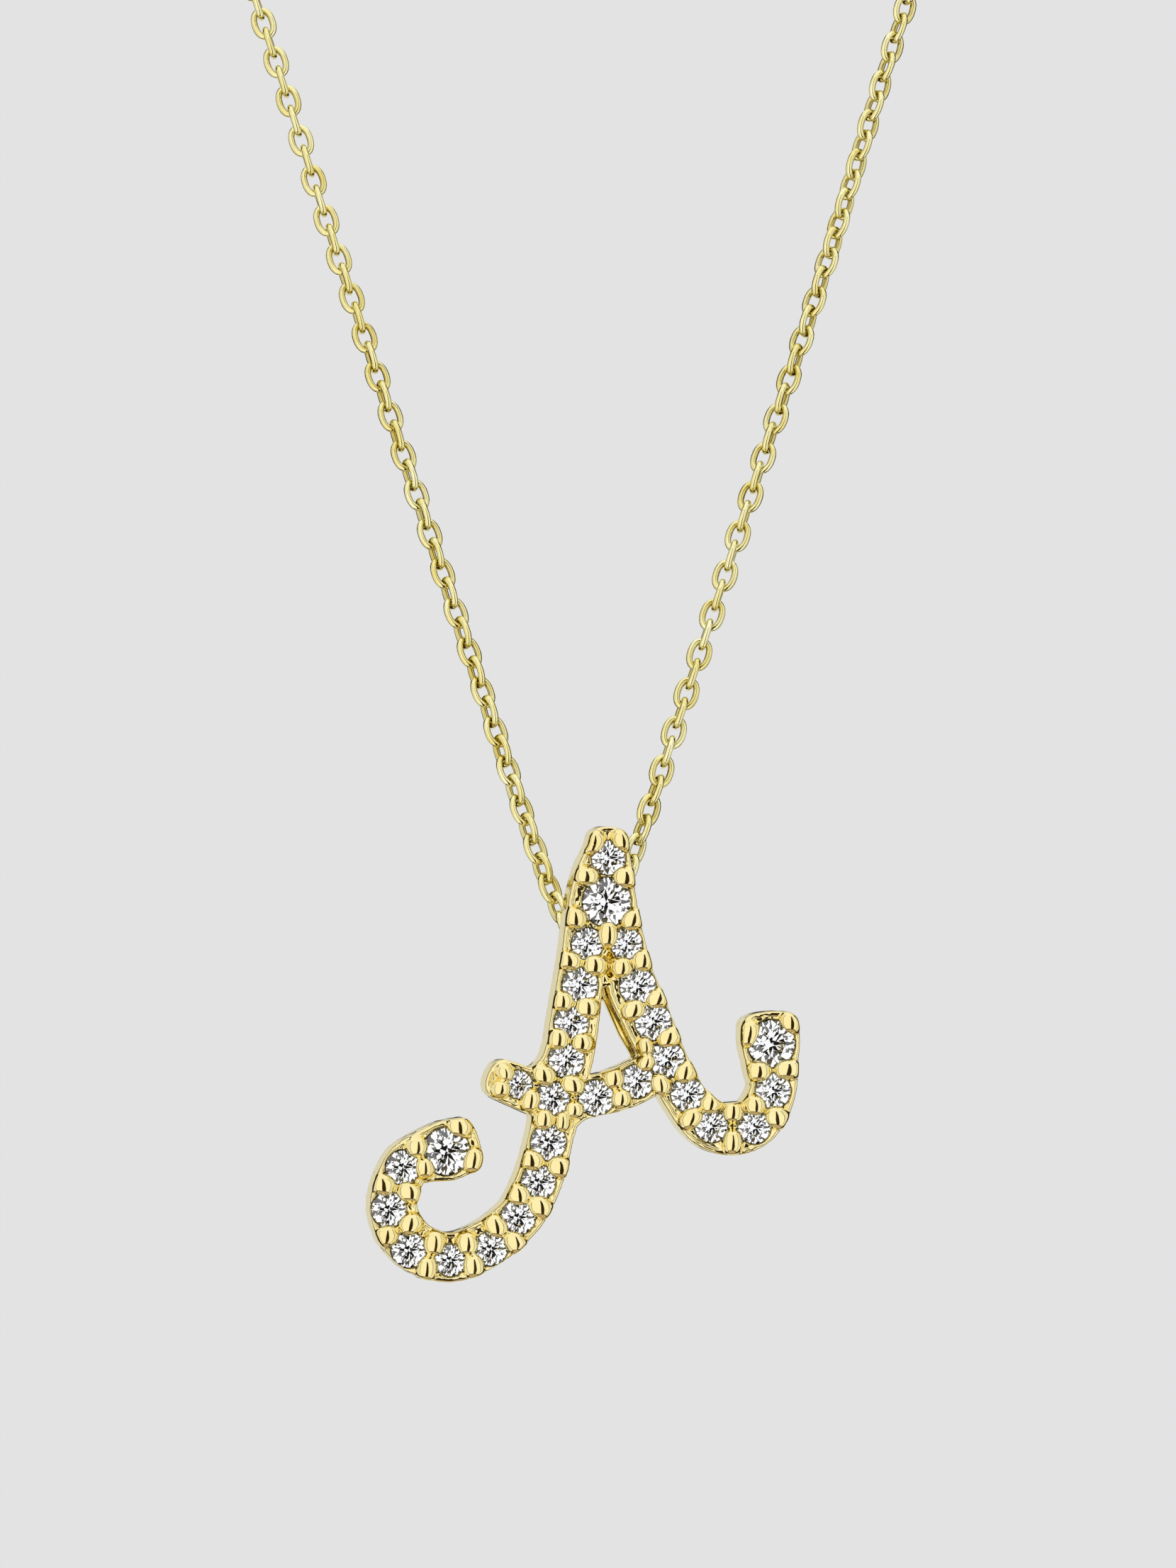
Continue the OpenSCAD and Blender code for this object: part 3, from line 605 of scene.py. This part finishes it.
def clasp_object(box_low, box_high):
    """A closed lobster clasp with rounded edges in the room of its node."""
    low, high = np.array(box_low) / MM, np.array(box_high) / MM
    centre = (low + high) / 2
    half_t = (high[1] - low[1]) / 2
    field = Field(low - CLASP_MARGIN, high + CLASP_MARGIN, CLASP_VOXEL)
    _, gx, gy, gz = field.window()
    eye_x = -CLASP_REACH / 2
    hook_r = (high[2] - low[2]) / 2
    far = high[0] - hook_r
    near = far - HOOK_SHARE * hook_r
    from_hook, from_eye = np.hypot(gx - np.clip(gx, near, far), gz), np.hypot(gx - eye_x, gz)
    t = np.clip((gx - eye_x) / (near - eye_x), 0, 1)
    neck_r = CLASP_WALL + NECK_MORE + t ** 2 * (hook_r - CLASP_WALL - NECK_MORE)
    neck = np.hypot(gx - eye_x - t * (near - eye_x), gz) - neck_r
    flat = smooth_min(from_hook - hook_r, neck, NECK_BLEND)
    flat = smooth_min(flat, from_eye - CLASP_HOLE_R - CLASP_WALL, EYE_BLEND)
    holes = np.minimum(from_hook - hook_r + CLASP_WALL, from_eye - CLASP_HOLE_R)
    flat = np.maximum(flat, -holes)
    from_middle = np.abs(gy - centre[1])
    field.d = rounded_prism(flat, from_middle - half_t, CLASP_EDGE_R).astype(np.float32)
    # The trigger's lever, the line round its pin and the line where it closes.
    lever = np.hypot(np.hypot(gx - near + LEVER_BACK, gz - hook_r + LEVER_SINK), gy - centre[1]) - LEVER_R
    lever = np.maximum(lever, gz - hook_r)
    field.d = smooth_min(field.d, lever.astype(np.float32), LEVER_BLEND)
    pin = np.abs(np.hypot(gx - near + PIN_BACK, gz) - PIN_R) - LINE_HALF
    seam = np.maximum(np.abs(gx - far - SEAM_AHEAD) - LINE_HALF, SEAM_LOW - gz)
    for line in (pin, seam):
        field.d = np.maximum(field.d, -np.maximum(line, half_t - LINE_DEPTH - from_middle))
    return field.to_object("lobster_clasp", Matrix.Scale(MM, 4), CLASP_ADAPTIVITY)


# Waves to the metre in the metal's tone, its polish and its surface, and in the stones' tone.
TONE_WAVES, POLISH_WAVES, CAST_WAVES, STONE_WAVES = 700.0, 2600.0, 3200.0, 900.0
MIX_A, MIX_B, MIX_RESULT = 6, 7, 2      # the colour sockets of a Mix node
DIAMOND_IOR = 2.42


def material(name):
    """A new material with its nodes, its links and its shader."""
    made = bpy.data.materials.new(name)
    made.use_nodes = True
    return made, made.node_tree.nodes, made.node_tree.links, made.node_tree.nodes["Principled BSDF"]


def add_node(nodes, kind, **values):
    """A shader node with its settings, or its sockets where it has no such setting."""
    node = nodes.new("ShaderNode" + kind)
    for key, value in values.items():
        if hasattr(node, key):
            setattr(node, key, value)
        else:
            node.inputs[key.replace("_", " ")].default_value = value
    return node


def gold(name, light, deep, rough_low, rough_high, cast, painted_shade_tint=None):
    """Polished gold whose tone and polish vary a little, with the soft waves of a hand-finished casting.

    cast is the waves' height in metres. The last argument is painted shade: a darker colour multiplied into
    the inside of links, where it stands in for the darker reflections from the neighbouring links.
    """
    made, nodes, links, shader = material(name)
    where = add_node(nodes, "TexCoord")
    tone = add_node(nodes, "TexNoise", Scale=TONE_WAVES, Detail=3.0)
    links.new(where.outputs["Object"], tone.inputs["Vector"])
    ramp = add_node(nodes, "ValToRGB")
    ramp.color_ramp.elements[0].position, ramp.color_ramp.elements[0].color = 0.3, (*deep, 1)
    ramp.color_ramp.elements[1].position, ramp.color_ramp.elements[1].color = 0.7, (*light, 1)
    links.new(tone.outputs["Fac"], ramp.inputs["Fac"])
    colour = ramp.outputs["Color"]
    # Painted shade: the inside of each link is darkened by multiplying its colour.
    if painted_shade_tint:
        painted_shade_mask = add_node(nodes, "Attribute", attribute_name="inner")
        painted_shade_mix = add_node(nodes, "Mix", data_type="RGBA", blend_type="MULTIPLY")
        links.new(painted_shade_mask.outputs["Fac"], painted_shade_mix.inputs["Factor"])
        links.new(colour, painted_shade_mix.inputs[MIX_A])
        painted_shade_mix.inputs[MIX_B].default_value = (*painted_shade_tint, 1)
        colour = painted_shade_mix.outputs[MIX_RESULT]
    links.new(colour, shader.inputs["Base Color"])
    polish = add_node(nodes, "TexNoise", Scale=POLISH_WAVES, Detail=4.0)
    links.new(where.outputs["Object"], polish.inputs["Vector"])
    spread = add_node(nodes, "MapRange")
    spread.inputs["To Min"].default_value = rough_low
    spread.inputs["To Max"].default_value = rough_high
    links.new(polish.outputs["Fac"], spread.inputs["Value"])
    links.new(spread.outputs["Result"], shader.inputs["Roughness"])
    waves = add_node(nodes, "TexNoise", Scale=CAST_WAVES, Detail=2.0)
    links.new(where.outputs["Object"], waves.inputs["Vector"])
    bump = add_node(nodes, "Bump", Strength=1.0, Distance=cast)
    links.new(waves.outputs["Fac"], bump.inputs["Height"])
    links.new(bump.outputs["Normal"], shader.inputs["Normal"])
    shader.inputs["Metallic"].default_value = 1.0
    return made


def clear_stone(name):
    """Clear stone of a nearly even cool white."""
    made, nodes, links, shader = material(name)
    where = add_node(nodes, "TexCoord")
    tone = add_node(nodes, "TexNoise", Scale=STONE_WAVES, Detail=1.0)
    links.new(where.outputs["Object"], tone.inputs["Vector"])
    ramp = add_node(nodes, "ValToRGB")
    ramp.color_ramp.elements[0].color = (0.96, 0.98, 1.0, 1)
    ramp.color_ramp.elements[1].color = (1.0, 1.0, 1.0, 1)
    links.new(tone.outputs["Fac"], ramp.inputs["Fac"])
    links.new(ramp.outputs["Color"], shader.inputs["Base Color"])
    shader.inputs["Roughness"].default_value = 0.0
    shader.inputs["IOR"].default_value = DIAMOND_IOR
    shader.inputs["Transmission Weight"].default_value = 1.0
    return made


def dress(obj, made):
    """Gives an object one material."""
    obj.data.materials.clear()
    obj.data.materials.append(made)


BACKGROUND = 0.768              # a flat pale grey
# The room from the floor's middle to the ceiling's, as distances from its axis and heights, in metres.
ROOM_PROFILE = [
    (0.0, -0.30), (4.0, -0.30), (4.6, -0.22), (5.1, 0.05), (5.4, 0.5), (5.4, 3.6), (4.6, 4.6), (0.0, 5.2)]
LETTER_MIDDLE = Vector((0, BAIL_POINT[1], BAIL_POINT[2] - 4)) * MM  # the letter's middle is below its bail
TENT_R, DARK_TENT_R = 1.3, 1.6  # in metres
TENT_COLUMNS, TENT_ROWS = 16, 12


def glow(name, strength, colour=(1, 1, 1)):
    """A material that only shines."""
    made = bpy.data.materials.new(name)
    made.use_nodes = True
    nodes = made.node_tree.nodes
    nodes.clear()
    light, out = nodes.new("ShaderNodeEmission"), nodes.new("ShaderNodeOutputMaterial")
    light.inputs["Color"].default_value = (*colour, 1)
    light.inputs["Strength"].default_value = strength
    made.node_tree.links.new(light.outputs["Emission"], out.inputs["Surface"])
    return made


def backdrop(name, start, end, steps, seen_through):
    """Part of a round pale room between two azimuths: a floor that sweeps up into a wall and over."""
    turns = [math.radians(start + (end - start) * k / steps) for k in range(steps + 1)]
    points = [(r * math.sin(t), -r * math.cos(t), z) for t in turns for r, z in ROOM_PROFILE]
    n = len(ROOM_PROFILE)
    faces = [[i * n + k, i * n + k + 1, (i + 1) * n + k + 1, (i + 1) * n + k]
             for i in range(steps) for k in range(n - 1)]
    obj = mesh_object(name, points, [np.array(faces)])
    dress(obj, glow(name, BACKGROUND))
    obj.visible_glossy = obj.visible_diffuse = obj.visible_shadow = False
    obj.visible_transmission = seen_through


def tent(name, cells, strength, colour, through=False, radius=TENT_R):
    """Bright cloth round the letter, seen only in reflections, or only through the stones.

    A cell is its two azimuths at the bottom, its two at the top and its two elevations. Azimuth 0 is the
    camera's side.
    """
    up = np.linspace(0, 1, TENT_ROWS + 1)
    points, faces = [], []
    i, k = np.meshgrid(np.arange(TENT_COLUMNS), np.arange(TENT_ROWS), indexing="ij")
    corner = i * (TENT_ROWS + 1) + k
    corners = [corner, corner + 1, corner + TENT_ROWS + 2, corner + TENT_ROWS + 1]
    cell_faces = np.stack(corners, axis=-1).reshape(-1, 4)
    for low_edge, high_edge, elevations in cells:
        sides = [low_edge[i] + (high_edge[i] - low_edge[i]) * up for i in range(2)]
        turn = np.radians(np.linspace(sides[0], sides[1], TENT_COLUMNS + 1))
        rise = np.radians(np.broadcast_to(elevations[0] + (elevations[1] - elevations[0]) * up, turn.shape))
        place = np.stack([np.sin(turn) * np.cos(rise), -np.cos(turn) * np.cos(rise), np.sin(rise)], axis=-1)
        faces.append(cell_faces + len(points) * (TENT_COLUMNS + 1) * (TENT_ROWS + 1))
        points.append(place.reshape(-1, 3))
    points = np.concatenate(points) * radius + np.array(LETTER_MIDDLE)
    obj = mesh_object(name, points, [np.concatenate(faces)])
    dress(obj, glow(name, strength, colour))
    obj.visible_camera = obj.visible_diffuse = obj.visible_shadow = False
    obj.visible_glossy, obj.visible_transmission = not through, through


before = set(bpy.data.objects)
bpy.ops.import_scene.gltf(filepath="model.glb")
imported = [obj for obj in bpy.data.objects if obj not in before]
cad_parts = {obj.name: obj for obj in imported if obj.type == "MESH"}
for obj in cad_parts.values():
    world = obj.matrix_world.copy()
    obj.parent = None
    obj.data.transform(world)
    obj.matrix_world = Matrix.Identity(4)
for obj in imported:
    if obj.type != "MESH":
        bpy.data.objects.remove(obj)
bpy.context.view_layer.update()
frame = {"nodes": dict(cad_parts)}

letter_gold = gold("letter_gold", (0.98, 0.88, 0.47), (0.96, 0.82, 0.39), 0.05, 0.12, 0.003 * MM)
# The chain's last colour is painted shade, multiplied into the insides of its links.
chain_gold = gold("chain_gold", (1.0, 0.97, 0.6), (0.88, 0.77, 0.27), 0.04, 0.1, 0.005 * MM,
                  (0.6, 0.54, 0.34))
diamond = clear_stone("diamond")

stones = stones_of(frame)
letter = letter_object(stones)
dress(letter, letter_gold)
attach(letter, "pendant")
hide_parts("letter_setting")

for label, side, shift, roll, drift, slip in (
        ("chain_left", -1, 0.06, LEFT_ROLL, LEFT_DRIFT, LEFT_SLIP),
        ("chain_right", 1, -0.03, RIGHT_ROLL, RIGHT_DRIFT, RIGHT_SLIP)):
    half = chain_object(label + "_links", side, shift, roll, drift, slip)
    dress(half, chain_gold)
    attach(half, "necklace")
    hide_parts(label)

clasp = clasp_object(*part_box("clasp"))
dress(clasp, chain_gold)
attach(clasp, "necklace")
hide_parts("clasp")

for label, node in frame["nodes"].items():
    if label.startswith("stone_"):
        dress(node, diamond)
    elif label.startswith("ring_"):
        dress(node, chain_gold)

backdrop("backdrop_behind", 138, 222, 24, True)
backdrop("backdrop_round", -138, 138, 60, False)
for label, cells, strength, colour in (
        ("tent_left", [((-58, 1), (-58, 12), (-58, 50))], 1.05, (1.0, 0.96, 0.91)),
        ("tent_right", [((34, 68), (25, 68), (-58, 50))], 1.0, (1.0, 0.99, 0.94)),
        ("tent_sides", [((-108, -62), (-108, -62), (-58, 50)), ((72, 108), (72, 108), (-58, 50))],
         0.86, (1.0, 0.98, 0.93)),
        ("tent_top", [((-180, 180), (-180, 180), (50, 90))], 1.0, (1.0, 1.0, 1.0)),
        ("tent_low", [((-180, 180), (-180, 180), (-90, -63))], 0.5, (1.0, 0.8, 0.58)),
        ("tent_behind", [((146, 214), (146, 214), (6, 54)), ((146, 173), (146, 173), (-6, 6)),
                         ((187, 214), (187, 214), (-6, 6)), ((146, 214), (146, 214), (-54, -6))],
         0.72, (1.0, 0.97, 0.82))):
    tent(label, cells, strength, colour)
# The stones sparkle with a lattice of bright panes on a dark ground.
low_turns = [
    (-108, -84), (-78, -63), (-57, -40), (-35, -20), (-14, 3), (9, 25), (30, 46), (53, 74), (80, 108)]
high_turns = [
    (-108, -70), (-64, -49), (-43, -27), (-21, -7), (-1, 15), (21, 38), (43, 60), (66, 86), (92, 108)]
rises = [(-60, -45.5), (-40.5, -26.5), (-21.5, -10.5), (-5.5, 8.5), (13.5, 26.5), (31.5, 47.5), (52.5, 86)]
tent("tent_stones", [(low, high, rise) for low, high in zip(low_turns, high_turns) for rise in rises],
     1.45, (0.99, 0.99, 1.0), True)
tent("tent_stones_dark", [((-138, 138), (-138, 138), (-90, 90))], 0.012, (0.8, 0.9, 1.0), True, DARK_TENT_R)

world = bpy.data.worlds.new("studio")
world.use_nodes = True
world.node_tree.nodes["Background"].inputs["Color"].default_value = (0.03, 0.017, 0.005, 1)
bpy.context.scene.world = world
bpy.context.scene.view_settings.view_transform = "Standard"

# The camera shows what the photograph shows, at its scale.
camera = bpy.data.cameras.new("camera")
camera.sensor_width = 36
camera.lens = camera.sensor_width * CAMERA_DISTANCE / (PHOTO_SIZE[1] / PX_PER_MM * MM)
camera.clip_start, camera.clip_end = 0.01, 50
camera_obj = bpy.data.objects.new("camera", camera)
bpy.context.scene.collection.objects.link(camera_obj)
right_of_bail = (PHOTO_SIZE[0] / 2 - BAIL_PX[0]) / PX_PER_MM
above_bail = (BAIL_PX[1] - PHOTO_SIZE[1] / 2) / PX_PER_MM
camera_obj.location = (
    right_of_bail * MM, BAIL_POINT[1] * MM - CAMERA_DISTANCE, (BAIL_POINT[2] + above_bail) * MM)
camera_obj.rotation_euler = (math.pi / 2, 0, 0)
bpy.context.scene.camera = camera_obj
